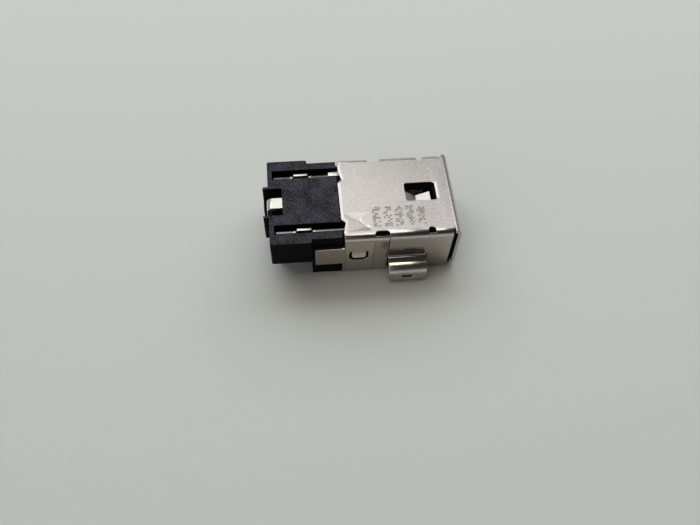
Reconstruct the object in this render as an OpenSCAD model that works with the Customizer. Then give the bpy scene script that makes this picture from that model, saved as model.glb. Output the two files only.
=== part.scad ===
// Board-mount barrel jack: a moulded housing with the plug socket, a folded sheet shell over its front,
// a centre pin with its terminal, and two sprung sleeve contacts on edge in slots.
// The pieces are drawn with x forward from the rear edge of the shell's top plate, y across,
// and z up from the shell's top. in_place() then stands them on the centre of the underside.

/* [Housing] */
// Height from the underside of the housing to the top of the shell
body_height = 4.2; // [4.15:0.05:5]
// Length of the housing behind the shell
rear_length = 5.4; // [5:0.1:6.4]
// Depth of the housing's bare top below the shell's top
top_drop = 0.1; // [0.04:0.01:0.16]
// Length of the neck behind the socket's floor
neck_length = 1; // [0.8:0.05:1.3]
// How far the neck's sides lie inside the shell's outer faces
neck_inset = 0.2; // [0.1:0.02:0.4]
// Radius of the housing's long edges under the shell's folds
core_edge = 0.35; // [0.3:0.01:0.4]
// How far the pillars' faces lie inside the shell's outer faces
pillar_inset = 0.05; // [0:0.01:0.1]
// Depth of the pillars' upper ends below the shell's top
pillar_depth = 1; // [0.7:0.05:1.15]
// Width of the rear block
block_width = 7.16; // [6.8:0.04:8]
// Radius of the rear block's upright corners
block_round = 0.15; // [0.08:0.01:0.3]
// How far the rear block laps over the neck
block_lap = 0.02; // [0.01:0.01:0.15]
// Depth of the board seat, the rear block's underside, below the shell's top
seat_depth = 2.52; // [2.5:0.02:3]
// Width of the centre block that stands out at the rear
spine_width = 2.7; // [2.6:0.05:3.2]
// How far the centre block stands out of the rear block
spine_step = 0.37; // [0.2:0.01:0.5]
// Width of the notch for the pin terminal
notch_width = 2.3; // [1.8:0.05:2.45]
// Depth of the notch from the rear
notch_length = 1.34; // [1.1:0.02:1.6]
// Depth of the notch's floor below the shell's top
notch_depth = 1.5; // [1.2:0.05:1.9]
// Gap that lets the stamped pieces slide into the housing
fit_gap = 0.03; // [0.02:0.01:0.06]

/* [Plug socket] */
// Depth of the plug's axis below the shell's top
axis_drop = 2.1; // [2.1:0.02:2.2]
// Diameter of the socket's bore
socket_d = 3.2; // [3.1:0.02:3.26]
// Depth of the socket from the front face
socket_depth = 9.3; // [8.8:0.1:9.5]
// Width of the bevel at the socket's mouth
mouth_bevel = 0.06; // [0.03:0.01:0.1]
// How much wider than the socket the front plate's hole is
mouth_step = 0.1; // [0.04:0.02:0.12]

/* [Shell] */
// Length of the shell's top plate
shell_length = 8.1; // [7.8:0.1:9]
// Width over the side walls
shell_width = 7; // [6.8:0.1:8]
// Thickness of the sheet
sheet = 0.25; // [0.22:0.01:0.26]
// Outer radius of the folds
fold_radius = 0.45; // [0.35:0.01:0.46]
// Depth of the side walls below the shell's top
wall_depth = 4.1; // [3.8:0.05:4.15]
// How far the side walls reach behind the top plate's rear edge
wall_setback = 0.08; // [0.04:0.01:0.2]
// How far the walls' upper parts start in front of that
wall_step = 0.12; // [0.05:0.01:0.2]
// How far the top plate's middle reaches behind its rear edge
lip_reach = 0.1; // [0.06:0.01:0.2]
// Width of that middle part
lip_width = 3.22; // [2.6:0.02:3.6]
// Offset of that middle part towards the near side
lip_shift = 0.24; // [0:0.02:0.3]
// Depth of the nicks at both ends of that middle part
nick_depth = 0.18; // [0.1:0.01:0.22]
// Width of the nicks' inner flanks
nick_inner = 0.25; // [0.1:0.01:0.3]
// Width of the nicks' outer flanks
nick_outer = 0.8; // [0.5:0.02:0.9]
// Gap between the side walls' front edges and the front plate
front_gap = 0.33; // [0.1:0.01:0.4]
// Width of the front plate
front_width = 6.8; // [6.4:0.02:7]
// Depth of the front plate below the shell's top
front_depth = 3.92; // [3.86:0.02:4.14]

/* [Fold reliefs] */
// Start of the long relief from the top plate's rear edge
relief_start = 2.15; // [2:0.05:2.4]
// Length of the long relief
relief_length = 0.98; // [0.6:0.02:1.1]
// How far the long relief reaches in from the shell's outer face
relief_reach = 0.52; // [0.46:0.02:0.7]
// Corner radius of the long relief
relief_round = 0.26; // [0.08:0.01:0.28]
// Angle round the fold at which the reliefs end
relief_angle = 42; // [30:1:60]
// Depth of the far side's reliefs below the shell's top
far_relief_depth = 1; // [0.8:0.05:1.2]
// Width of the slit between the rear and the front flap
slit_width = 0.05; // [0.03:0.01:0.12]
// Middle of the short relief from the top plate's rear edge
pierce_middle = 6.05; // [5.9:0.05:6.4]
// Width of the short relief
pierce_width = 0.5; // [0.3:0.02:0.7]
// How far the short relief reaches in from the shell's outer face
pierce_reach = 0.62; // [0.5:0.02:0.8]

/* [Spring tongue] */
// Start of the window from the top plate's rear edge
window_start = 4.58; // [4.3:0.02:4.8]
// Length of the window
window_length = 2.19; // [2:0.01:2.4]
// Width of the window
window_width = 1.55; // [1.2:0.05:1.9]
// Offset of the window's middle from the shell's middle
window_shift = 0.175; // [0:0.025:0.3]
// Corner radius of the window
window_round = 0.2; // [0.1:0.02:0.3]
// Width of the tongue
tongue_width = 0.76; // [0.5:0.02:0.9]
// Length of the tongue from its root
tongue_reach = 1.75; // [1.4:0.05:1.85]
// Distance of the crease from the root
crease_reach = 0.8; // [0.5:0.02:1]
// Depth of the crease below the shell's top
crease_depth = 0.5; // [0.35:0.01:0.6]
// Depth of the tongue's tip below the shell's top
tip_depth = 0.09; // [0.04:0.01:0.2]
// Gap between the tongue's near edge and the window
lance_gap = 0.04; // [0.02:0.01:0.1]
// Room around the tongue in the housing's roof
roof_play = 0.12; // [0.05:0.01:0.2]
// Width of the roof's rim inside the window, at the far side and in front
roof_rim = 0.15; // [0.05:0.01:0.25]

/* [Side latches] */
// Start of the latch's cut from the top plate's rear edge
latch_start = 0.37; // [0.25:0.01:0.5]
// Length of the latch's cut
latch_length = 1.35; // [1.1:0.05:1.5]
// Depth of the latch's root below the shell's top
latch_top = 1.57; // [1.3:0.02:1.8]
// Height of the latch's cut
latch_height = 1.16; // [0.9:0.02:1.3]
// Width of the slit around the latch
latch_slit = 0.18; // [0.08:0.01:0.2]
// Height of the opening below the latch's end
latch_foot = 0.45; // [0.3:0.01:0.5]
// How far the latch's end leans out
latch_lean = 0.12; // [0.05:0.01:0.2]
// Corner radius of the latch's cut
latch_round = 0.38; // [0.22:0.02:0.4]

/* [Rear tongues of the shell] */
// Reach of the tongues behind the top plate's rear edge
ear_reach = 2; // [1.6:0.02:2.1]
// Depth of the tongues' upper edge below the shell's top
ear_top = 1.25; // [1.2:0.05:1.6]
// Height of the tongues
ear_height = 1.87; // [1.4:0.02:2.2]
// Corner radius of the tongues' rear end
ear_round = 0.12; // [0.1:0.01:0.65]

/* [Board legs] */
// Length of a leg along the shell
leg_length = 2.69; // [2:0.05:3]
// How far the legs' faces stand out from the shell's sides
leg_reach = 1.15; // [0.9:0.05:1.6]
// Depth of the flange's top below the shell's top
flange_depth = 2.58; // [1.9:0.02:2.8]
// Outer radius of the bend from flange to plate
leg_bend = 0.5; // [0.4:0.01:0.75]
// Inner radius of the bend from wall to flange
leg_heel = 0.14; // [0.05:0.01:0.2]
// Corner radius of the legs' tips
leg_round = 0.45; // [0.2:0.05:0.6]
// Gap between a leg and the wall in front of it
leg_gap = 0.1; // [0.05:0.01:0.2]
// Length of the slot in a leg
leg_slot_length = 0.92; // [0.6:0.02:1.4]
// Height of the slot in a leg
leg_slot_height = 0.3; // [0.15:0.01:0.4]
// Depth of the slot's middle below the shell's top
leg_slot_depth = 3.53; // [3.4:0.02:3.7]
// How far the legs and the solder tails end above the underside
tail_rise = 0.05; // [0.02:0.01:0.2]
// Height of the taper at the solder tails' tips
tail_taper = 0.2; // [0.1:0.01:0.3]

/* [Pin and terminal] */
// Diameter of the centre pin
pin_d = 1; // [0.8:0.05:1.2]
// How far the pin's tip lies behind the front face
pin_recess = 1.5; // [1:0.1:3]
// Diameter of the pin's root in the housing
pin_root_d = 1.4; // [1.35:0.05:1.5]
// Diameter of the pin's staked tail
pin_tail_d = 0.6; // [0.5:0.02:0.7]
// Diameter of the staked head
stake_d = 0.82; // [0.76:0.02:0.84]
// Height of the staked head
stake_height = 0.2; // [0.1:0.02:0.3]
// Gap around the pin's root and tail
pin_gap = 0.01; // [0.005:0.005:0.02]
// Thickness of the terminal's strip
strip = 0.3; // [0.22:0.01:0.34]
// Width of the terminal's strip
tab_width = 0.9; // [0.8:0.02:1.2]
// Depth of the strip's top below the shell's top
tab_depth = 0.25; // [0.24:0.01:0.4]
// Outer radius of the strip's bends
strip_bend = 0.4; // [0.36:0.01:0.45]
// How far the solder tail's face lies inside the rear of the housing
tail_inset = 0.25; // [0.1:0.01:0.4]
// Diameter of the eye around the pin
eye_d = 1.6; // [1.3:0.05:1.8]
// Width of the terminal's solder tail
pin_tail_width = 0.6; // [0.4:0.05:0.8]

/* [Sleeve contacts] */
// Thickness of the contacts' sheet
contact_sheet = 0.22; // [0.18:0.01:0.34]
// Distance between the two blades' middle planes
contact_spacing = 4.72; // [4.5:0.02:4.9]
// Width of the slots above the blades
slot_width = 0.73; // [0.5:0.01:0.8]
// Depth of the wide part of the slots below the shell's top
slot_depth = 1.3; // [0.9:0.05:1.8]
// Distance of the slots' rear end from the rear of the housing
slot_inset = 0.7; // [0.6:0.02:0.9]
// How far the wide part of the slots runs under the shell
slot_run = 0.3; // [0.25:0.01:0.5]
// Length of the tight part of the slots in front of the wide part
grip_length = 0.6; // [0.3:0.05:0.9]
// Gap between a blade's rear end and its slot
blade_gap = 0.07; // [0.03:0.01:0.15]
// Depth of the blades' top edge below the shell's top
blade_top = 0.46; // [0.42:0.02:0.8]
// Depth of the blades' foot below the shell's top
blade_foot = 2.2; // [2:0.02:2.3]
// Depth of the hump's top below the shell's top
hump_top = 0.22; // [0.16:0.01:0.4]
// Length of the hump
hump_length = 1.02; // [0.7:0.01:1.2]
// Distance of the hump's front behind the shell
hump_setback = 2.16; // [1.7:0.02:2.3]
// Radius at the foot of the hump
hump_round = 0.17; // [0.05:0.01:0.19]
// Height of the spring arms
arm_height = 1.2; // [0.8:0.05:1.3]
// How far the spring arms reach into the socket
spring_bite = 0.25; // [0.1:0.01:0.3]
// Distance of the springs' contact line behind the front face
spring_point = 3; // [2.8:0.05:3.6]
// Length of the flared end of the springs
flare_length = 1.2; // [0.6:0.05:1.25]
// How far the flared end turns back out
flare_rise = 0.45; // [0.2:0.05:0.6]
// Distance of the spring chambers' front wall behind the front face
chamber_setback = 1.35; // [1.2:0.05:1.5]
// Room below and inside the spring arms in their chambers
spring_play = 0.15; // [0.08:0.01:0.2]
// Width of the contacts' solder tails
contact_tail_width = 0.7; // [0.5:0.02:0.8]
// Length of the tab on the far contact
ground_tab_length = 0.9; // [0.6:0.02:1]
// How far that tab runs under the shell
ground_tab_run = 0.2; // [0.1:0.01:0.24]
// Width of that tab
ground_tab_width = 0.4; // [0.34:0.01:0.48]

/* [Hidden] */
$fn = 64;
// Overshoot of cuts past the faces that they open
cut = 0.5;
total_length = shell_length + rear_length;
half_width = shell_width / 2;
inner_radius = fold_radius - sheet;
wall_front = shell_length - sheet - front_gap;
wall_inside = half_width - sheet;
// Housing under the shell
core_top = sheet + fit_gap;
core_half = wall_inside - fit_gap;
core_front = shell_length - sheet - fit_gap;
core_round = inner_radius - fit_gap;
neck_front = -(wall_setback + fit_gap);
block_rear = spine_step - rear_length;
notch_front = notch_length - rear_length;
// Plug socket and the pin's seat
socket_floor = shell_length - socket_depth;
neck_rear = socket_floor - neck_length;
eye_front = neck_rear + strip;
pin_tip = shell_length - pin_recess;
strip_rear = tail_inset - rear_length;
tail_tip = body_height - tail_rise;
// Spring tongue
tongue_near = window_shift - window_width / 2 + lance_gap;
tongue_far = tongue_near + tongue_width;
roof_far = max(tongue_far + roof_play, window_shift + window_width / 2 - roof_rim);
roof_front = window_start + max(tongue_reach + roof_play, window_length - roof_rim);
// Flaps and legs
relief_end = relief_start + relief_length;
leg_start = relief_end;
fold_line = half_width - fold_radius;
fold_start = shell_length - fold_radius;
fold_clear = 3 * fold_radius;
leg_face = half_width + leg_reach;
leg_shoulder = leg_face - leg_bend;
latch_end = latch_top + latch_height - latch_foot;
// Sleeve contacts
blade_plane = contact_spacing / 2;
slot_rear = slot_inset - rear_length;
blade_rear = slot_rear + blade_gap;
chamber_rear = slot_run + grip_length;
chamber_front = shell_length - chamber_setback;
chamber_outer = blade_plane + slot_width / 2;
spring_plane = socket_d / 2 - spring_bite + contact_sheet / 2;
chamber_inner = socket_d / 2 - spring_bite - spring_play;
spring_x = shell_length - spring_point;
arm_root = chamber_rear + fit_gap;
arm_bend = chamber_rear + contact_sheet;
arm_top = axis_drop - arm_height / 2;
arm_foot = axis_drop + arm_height / 2;

// Moves a piece from the shell's rear top edge to the part's own frame
module in_place() {
    translate([total_length / 2 - shell_length, 0, body_height])
        children();
}

// Draws the children on the far side and mirrored on the near side
module both_sides() {
    children();
    mirror([0, 1, 0])
        children();
}

// Box between two corners
module block(low, high) {
    translate(low)
        cube(high - low);
}

// Extrudes an outline drawn in y and z along x
module along_x(from, to) {
    translate([from, 0, 0])
        rotate([90, 0, 90])
            linear_extrude(to - from)
                children();
}

// Extrudes an outline drawn in x and z across y
module along_y(from, to) {
    translate([0, to, 0])
        rotate([90, 0, 0])
            linear_extrude(to - from)
                children();
}

// Extrudes an outline drawn in x and y along z
module along_z(from, to) {
    translate([0, 0, from])
        linear_extrude(to - from)
            children();
}

// Cylinder along x
module rod(from, to, diameter) {
    translate([from, 0, 0])
        rotate([0, 90, 0])
            cylinder(d = diameter, h = to - from);
}

// Rectangle between two corners with round corners
module round_box(low, high, radius) {
    size = high - low;
    translate(low + [radius, 0])
        square([size.x - 2 * radius, size.y]);
    translate(low + [0, radius])
        square([size.x, size.y - 2 * radius]);
    for (x = [low.x + radius, high.x - radius], y = [low.y + radius, high.y - radius])
        translate([x, y])
            circle(radius);
}

// Section of given width that hangs from its top edge, with both upper corners round
module bent_section(width, depth, radius) {
    translate([radius - width / 2, -depth])
        square([width - 2 * radius, depth]);
    translate([-width / 2, -depth])
        square([width, depth - radius]);
    for (side = [-1, 1])
        translate([side * (width / 2 - radius), -radius])
            circle(radius);
}

// Quarter of a ring between the two positive axes
module quarter_ring(inner, outer) {
    intersection() {
        difference() {
            circle(outer);
            circle(inner);
        }
        square(outer);
    }
}

// Left side of a path at each of its points, as long as half the strip's thickness asks at the bends
function unit(v) = v / norm(v);
function heading(path, i) = unit(path[i + 1] - path[i]);
function offset_at(path, i, half) =
    let (
        before = heading(path, max(i - 1, 0)),
        after = heading(path, min(i, len(path) - 2))
    )
    half * [-before.y - after.y, before.x + after.x] / (1 + before * after);

// Bent strip of even thickness along a path, drawn with sharp bends
module bent_strip(path, thickness) {
    count = len(path);
    left = [for (i = [0 : count - 1]) path[i] + offset_at(path, i, thickness / 2)];
    right = [for (i = [count - 1 : -1 : 0]) path[i] - offset_at(path, i, thickness / 2)];
    polygon(concat(left, right));
}

// Shell: top plate with both side walls
module shell_cover() {
    along_x(-wall_setback, wall_front)
        difference() {
            bent_section(shell_width, wall_depth, fold_radius);
            translate([0, -sheet])
                bent_section(shell_width - 2 * sheet, wall_depth, inner_radius);
        }
    translate([0, -lip_shift, 0])
        block([-lip_reach, -lip_width / 2, -sheet], [0, lip_width / 2, 0]);
}

// Shell: front plate, folded down from the top plate
module shell_front() {
    along_y(-front_width / 2, front_width / 2)
        front_outline();
    along_y(-fold_line, fold_line) {
        front_outline();
        translate([wall_front - sheet, -sheet])
            square([fold_start - wall_front + sheet, sheet]);
    }
}

// Outline of the front fold and plate seen from the side
module front_outline() {
    translate([fold_start, -fold_radius])
        quarter_ring(inner_radius, fold_radius);
    translate([shell_length - sheet, -front_depth])
        square([sheet, front_depth - fold_radius]);
}

// Opening at the far fold with the children's plan, from the top plate part of the way round the bend
module fold_relief(start, end, reach) {
    inside = half_width - reach;
    centre = [fold_line, -fold_radius];
    ray = fold_clear * [sin(relief_angle), cos(relief_angle)];
    intersection() {
        along_x(start, end)
            polygon([[inside, centre.y], centre, centre + ray, [inside, centre.y + ray.y]]);
        along_z(-fold_clear, fold_clear)
            children();
    }
}

// Long relief at the far fold
module long_relief() {
    fold_relief(relief_start, relief_end, relief_reach)
        long_relief_plan();
}

// Plan of the long relief
module long_relief_plan() {
    round_box([relief_start, half_width - relief_reach], [relief_end, leg_face], relief_round);
}

// Short relief at the far fold
module short_relief() {
    radius = pierce_width / 2;
    fold_relief(pierce_middle - radius, pierce_middle + radius, pierce_reach)
        short_relief_plan();
}

// Plan of the short relief, with a round end in the top plate
module short_relief_plan() {
    radius = pierce_width / 2;
    round_end = half_width - pierce_reach + radius;
    translate([pierce_middle, round_end])
        circle(radius);
    translate([pierce_middle - radius, round_end])
        square([pierce_width, leg_reach + pierce_reach]);
}

// Reliefs of the far side, which run straight down into the wall
module far_reliefs() {
    along_z(-far_relief_depth, cut) {
        long_relief_plan();
        short_relief_plan();
    }
}

// Cut between the rear and the front flap, from the long relief down
module flap_slit() {
    inside = fold_line + inner_radius * sin(relief_angle);
    block([leg_start - slit_width, inside, -wall_depth - cut], [leg_start, half_width + cut, cut]);
}

// Room in the wall that the leg leaves below its flange
module leg_window() {
    block(
        [leg_start - slit_width, wall_inside - cut, -wall_depth - cut],
        [leg_start + leg_length + leg_gap, half_width + cut, leg_heel - flange_depth]
    );
}

// Board leg at the far side: root in the wall, flange, bend and slotted plate
module board_leg() {
    intersection() {
        along_x(leg_start, leg_start + leg_length) {
            translate([wall_inside, leg_heel - flange_depth])
                square(sheet);
            translate([half_width + leg_heel, leg_heel - flange_depth])
                rotate(180)
                    quarter_ring(leg_heel, leg_heel + sheet);
            translate([half_width + leg_heel, -flange_depth - sheet])
                square([leg_shoulder - half_width - leg_heel, sheet]);
            translate([leg_shoulder, -flange_depth - leg_bend])
                quarter_ring(leg_bend - sheet, leg_bend);
            translate([leg_face - sheet, -tail_tip])
                square([sheet, tail_tip - flange_depth - leg_bend]);
        }
        along_y(wall_inside - cut, leg_face + cut)
            difference() {
                round_box([leg_start, -tail_tip], [leg_start + leg_length, cut], leg_round);
                leg_slot();
            }
    }
}

// Outline of the slot in a leg, with round ends
module leg_slot() {
    straight = leg_slot_length - leg_slot_height;
    translate([leg_start + leg_length / 2, -leg_slot_depth]) {
        square([straight, leg_slot_height], center = true);
        for (side = [-1, 1])
            translate([side * straight / 2, 0])
                circle(d = leg_slot_height);
    }
}

// Opening in the wall around a latch
module latch_cut() {
    along_y(wall_inside - cut, half_width + cut)
        round_box(
            [latch_start, -latch_top - latch_height], [latch_start + latch_length, -latch_top], latch_round
        );
}

// Latch at the far side, which hangs from its root and leans out
module latch() {
    rear = latch_start + latch_slit;
    front = latch_start + latch_length - latch_slit;
    root = latch_top - latch_round;
    intersection() {
        along_x(rear, front)
            polygon([
                [wall_inside, -root], [half_width, -root], [half_width, -latch_top],
                [half_width + latch_lean, -latch_end], [wall_inside + latch_lean, -latch_end],
                [wall_inside, -latch_top]
            ]);
        along_y(wall_inside - cut, half_width + cut)
            round_box([rear, -latch_end], [front, cut], latch_round - latch_slit);
    }
}

// Rear tongue of the far wall, with its front end inside the wall
module ear() {
    along_y(wall_inside, half_width)
        round_box([-ear_reach, -ear_top - ear_height], [ear_round, -ear_top], ear_round);
}

// Window in the top plate
module window_cut() {
    along_z(-sheet - cut, cut)
        round_box(
            [window_start, window_shift - window_width / 2],
            [window_start + window_length, window_shift + window_width / 2],
            window_round
        );
}

// Cut that starts the top plate's outer parts in front of its middle part, with a nick at each end of that
module rear_edge_cut() {
    along_z(-sheet - cut, cut) {
        rear_edge_plan(lip_width / 2 - lip_shift);
        mirror([0, 1])
            rear_edge_plan(lip_width / 2 + lip_shift);
    }
}

// Plan of that cut at the far side, from the end of the middle part to the fold
module rear_edge_plan(end) {
    low = -wall_setback - cut;
    nick = end + nick_inner;
    polygon([
        [low, end], [-lip_reach, end], [nick_depth, nick], [0, nick + nick_outer], [0, fold_line], [low, fold_line]
    ]);
}

// Cut that starts the far wall's upper part in front of its lower part
module wall_step_cut() {
    block([-wall_setback - cut, fold_line, -ear_top], [wall_step - wall_setback, half_width + cut, cut]);
}

// Spring tongue that dips to a crease and rises to its tip
module spring_tongue() {
    root = window_start - window_round;
    tip = window_start + tongue_reach;
    crease = window_start + crease_reach;
    along_y(tongue_near, tongue_far)
        polygon([
            [root, 0], [window_start, 0], [crease, -crease_depth], [tip, -tip_depth],
            [tip, -tip_depth - sheet], [crease, -crease_depth - sheet],
            [window_start, -sheet], [root, -sheet]
        ]);
}

// Folded sheet shell, one stamped piece
module shield_shell() {
    color("silver")
        in_place() {
            difference() {
                union() {
                    shell_cover();
                    both_sides()
                        ear();
                }
                both_sides() {
                    long_relief();
                    short_relief();
                    flap_slit();
                    leg_window();
                    latch_cut();
                    wall_step_cut();
                }
                far_reliefs();
                window_cut();
                rear_edge_cut();
            }
            difference() {
                shell_front();
                translate([0, 0, -axis_drop])
                    rod(core_front, shell_length + cut, socket_d + mouth_step);
            }
            both_sides() {
                board_leg();
                latch();
            }
            spring_tongue();
        }
}

// Housing: solid forms before the cuts
module housing_body() {
    // Core under the shell
    translate([0, 0, -core_top])
        along_x(neck_rear, core_front)
            bent_section(2 * core_half, body_height - core_top, core_edge);
    // Neck behind the shell, with a pillar at each side
    neck_half = half_width - neck_inset;
    pillar_half = half_width - pillar_inset;
    block([neck_rear, -neck_half, -body_height], [neck_front, neck_half, -top_drop]);
    block([neck_rear, -pillar_half, -body_height], [neck_front, pillar_half, -pillar_depth]);
    // Rear block on the board, with the centre block behind it
    along_z(-seat_depth, -top_drop) {
        round_box([block_rear, -block_width / 2], [neck_rear + block_lap, block_width / 2], block_round);
        round_box([-rear_length, -spine_width / 2], [notch_front, spine_width / 2], block_round);
    }
}

// Housing: plug socket with its bevelled mouth and the hole for the pin's root
module socket_cut() {
    translate([0, 0, -axis_drop]) {
        rod(socket_floor, core_front + cut, socket_d);
        translate([core_front, 0, 0])
            rotate([0, -90, 0])
                cylinder(d1 = socket_d + 2 * mouth_bevel, d2 = socket_d, h = mouth_bevel);
        rod(eye_front - cut, socket_floor + cut, pin_root_d + 2 * pin_gap);
    }
}

// Housing: notch, groove and eye pocket that take the pin terminal from below
module terminal_cut() {
    groove = tab_width / 2 + fit_gap;
    pocket = eye_d / 2 + fit_gap;
    block([-rear_length - cut, -notch_width / 2, -notch_depth], [notch_front, notch_width / 2, cut]);
    block([-rear_length - cut, -groove, -seat_depth - cut], [eye_front, groove, -tab_depth]);
    block([neck_rear, -pocket, -body_height - cut], [eye_front, pocket, eye_d / 2 - axis_drop + fit_gap]);
    block([neck_rear - cut, -pocket, -body_height - cut], [eye_front, pocket, -seat_depth]);
}

// Housing: slot at the far side, wide above and tight around the blade's foot
module contact_slot() {
    tight = contact_sheet / 2 + fit_gap;
    tail_front = blade_rear + contact_tail_width + fit_gap;
    block([slot_rear, blade_plane - slot_width / 2, -slot_depth], [slot_run, chamber_outer, cut]);
    block([slot_rear, blade_plane - tight, -blade_foot], [chamber_rear + cut, blade_plane + tight, cut]);
    block([slot_rear, blade_plane - tight, -seat_depth - cut], [tail_front, blade_plane + tight, cut]);
}

// Housing: chamber at the far side in which the spring arm moves
module spring_chamber() {
    block([chamber_rear, chamber_inner, -arm_foot - spring_play], [chamber_front, chamber_outer, cut]);
}

// Housing: seat for the shell's far rear tongue
module ear_seat() {
    block(
        [-ear_reach - fit_gap, core_half, -ear_top - ear_height - fit_gap],
        [neck_front + cut, half_width + cut, -ear_top + fit_gap]
    );
}

// Housing: round front edge of the roof behind the shell's front fold
module front_edge_cut() {
    along_y(-half_width, half_width)
        translate([core_front - core_round, -core_top - core_round])
            difference() {
                square(core_round + cut);
                circle(core_round);
            }
}

// Housing: opening in the roof under the window, and the step for the top plate's middle part
module roof_cut() {
    block([window_start - roof_play, tongue_near - roof_play, -axis_drop], [roof_front, roof_far, cut]);
    translate([0, -lip_shift, 0])
        block(
            [-lip_reach - fit_gap, -lip_width / 2 - fit_gap, -core_top],
            [cut, lip_width / 2 + fit_gap, cut]
        );
}

// Moulded housing
module insulator_housing() {
    color("#1c1c1e")
        in_place()
            difference() {
                housing_body();
                socket_cut();
                terminal_cut();
                both_sides() {
                    contact_slot();
                    spring_chamber();
                    ear_seat();
                }
                roof_cut();
                front_edge_cut();
            }
}

// Turned centre pin with a round tip, staked behind the terminal's eye
module center_pin() {
    radius = pin_d / 2;
    color("#cfc9b8")
        in_place()
            translate([0, 0, -axis_drop])
                rotate([0, 90, 0])
                    rotate_extrude() {
                        half_profile(neck_rear - stake_height, neck_rear, stake_d);
                        half_profile(neck_rear, eye_front, pin_tail_d);
                        half_profile(eye_front, socket_floor, pin_root_d);
                        half_profile(socket_floor, pin_tip - radius, pin_d);
                        translate([0, pin_tip - radius])
                            intersection() {
                                circle(radius);
                                square(radius);
                            }
                    }
}

// Half of a turned length's profile, from the axis out
module half_profile(from, to, diameter) {
    translate([0, from])
        square([diameter / 2, to - from]);
}

// Outline of a solder tail that hangs from its root and narrows at its tip
module tail_outline(low, high, root) {
    polygon([
        [low, -root], [low, tail_taper - tail_tip], [low + tail_taper / 2, -tail_tip],
        [high - tail_taper / 2, -tail_tip], [high, tail_taper - tail_tip], [high, -root]
    ]);
}

// Bent strip from the staked pin over the housing's rear to a solder tail
module pin_terminal() {
    length = eye_front - strip_rear;
    middle = (eye_front + strip_rear) / 2;
    color("#d9d8d2")
        in_place()
            difference() {
                union() {
                    along_y(-tab_width / 2, tab_width / 2)
                        translate([middle, -tab_depth])
                            difference() {
                                bent_section(length, axis_drop - tab_depth, strip_bend);
                                translate([0, -strip])
                                    bent_section(length - 2 * strip, axis_drop, strip_bend - strip);
                            }
                    translate([0, 0, -axis_drop])
                        rod(neck_rear, eye_front, eye_d);
                    along_x(strip_rear, strip_rear + strip)
                        tail_outline(-pin_tail_width / 2, pin_tail_width / 2, axis_drop - strip);
                }
                translate([0, 0, -axis_drop])
                    rod(neck_rear - cut, eye_front + cut, pin_tail_d + 2 * pin_gap);
            }
}

// Blade of a contact seen from the side: foot, hump with round insides, and solder tail
module blade_outline() {
    hump_front = -hump_setback;
    hump_rear = hump_front - hump_length;
    translate([blade_rear, -blade_foot])
        square([arm_bend - blade_rear, blade_foot - blade_top]);
    translate([hump_rear, -blade_top])
        square([hump_length, blade_top - hump_top]);
    translate([hump_front, -blade_top])
        hump_fillet();
    translate([hump_rear, -blade_top])
        mirror([1, 0])
            hump_fillet();
    tail_outline(blade_rear, blade_rear + contact_tail_width, blade_foot - contact_sheet);
}

// Round inside corner at the foot of the hump
module hump_fillet() {
    difference() {
        square(hump_round);
        translate([hump_round, hump_round])
            circle(hump_round);
    }
}

// Sleeve contact at the far side: blade in its slot and spring arm beside the plug
module sleeve_contact() {
    half = contact_sheet / 2;
    along_y(blade_plane - half, blade_plane + half)
        blade_outline();
    along_z(-arm_foot, -arm_top)
        bent_strip(
            [
                [arm_root, blade_plane], [arm_bend, blade_plane], [spring_x, spring_plane],
                [spring_x + flare_length, spring_plane + flare_rise]
            ],
            contact_sheet
        );
}

// Raised tab of the far contact that meets the shell's underside, on a root inside the blade
module ground_tab() {
    along_x(ground_tab_run - ground_tab_length, ground_tab_run)
        translate([blade_plane, 0]) {
            translate([-ground_tab_width / 2, -blade_top])
                square([ground_tab_width, blade_top - core_top]);
            translate([-contact_sheet / 2, -blade_top - contact_sheet])
                square([contact_sheet, blade_top + contact_sheet - core_top]);
        }
}

// Contact in the near slot
module near_sleeve_contact() {
    color("#c9c8c3")
        in_place()
            mirror([0, 1, 0])
                sleeve_contact();
}

// Contact in the far slot
module far_sleeve_contact() {
    color("#c9c8c3")
        in_place() {
            sleeve_contact();
            ground_tab();
        }
}

insulator_housing();
shield_shell();
center_pin();
pin_terminal();
near_sleeve_contact();
far_sleeve_contact();
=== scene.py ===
"""Finishes a board-mount barrel jack.

Rounds the edges, gives metal and plastic their surfaces, prints worn ink dots and sets the stage.
"""

import math

import bmesh
import bpy
from bpy.props import FloatProperty, FloatVectorProperty, IntProperty, PointerProperty
from mathutils import Matrix, Vector
from mathutils.geometry import intersect_point_line


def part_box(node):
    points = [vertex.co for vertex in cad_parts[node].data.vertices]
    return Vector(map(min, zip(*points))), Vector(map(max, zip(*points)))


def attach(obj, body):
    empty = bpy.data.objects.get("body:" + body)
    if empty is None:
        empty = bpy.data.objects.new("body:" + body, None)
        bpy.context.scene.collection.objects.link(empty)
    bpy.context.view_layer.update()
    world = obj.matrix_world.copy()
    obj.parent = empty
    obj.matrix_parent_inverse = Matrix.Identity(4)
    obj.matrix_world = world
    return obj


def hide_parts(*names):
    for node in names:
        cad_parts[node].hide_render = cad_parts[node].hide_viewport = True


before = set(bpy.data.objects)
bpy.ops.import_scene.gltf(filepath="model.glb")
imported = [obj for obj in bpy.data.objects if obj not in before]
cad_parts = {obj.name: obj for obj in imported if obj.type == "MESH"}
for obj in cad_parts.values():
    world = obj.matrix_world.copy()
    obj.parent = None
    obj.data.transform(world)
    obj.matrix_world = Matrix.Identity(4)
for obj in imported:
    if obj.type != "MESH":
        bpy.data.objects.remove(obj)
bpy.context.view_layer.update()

bl_info = {
    "name": "Barrel Jack Finish",
    "version": (1, 0, 0),
    "blender": (4, 5, 0),
    "location": "View3D > Sidebar > Barrel Jack",
    "description": "Finishes the pieces of a board-mount barrel jack and sets its stage",
    "category": "Object",
}

MM = 0.001
BODY = "root"
EDGE_ATTRIBUTE = "edge_wear"
DOT_ATTRIBUTE = "ink_wear"

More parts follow.
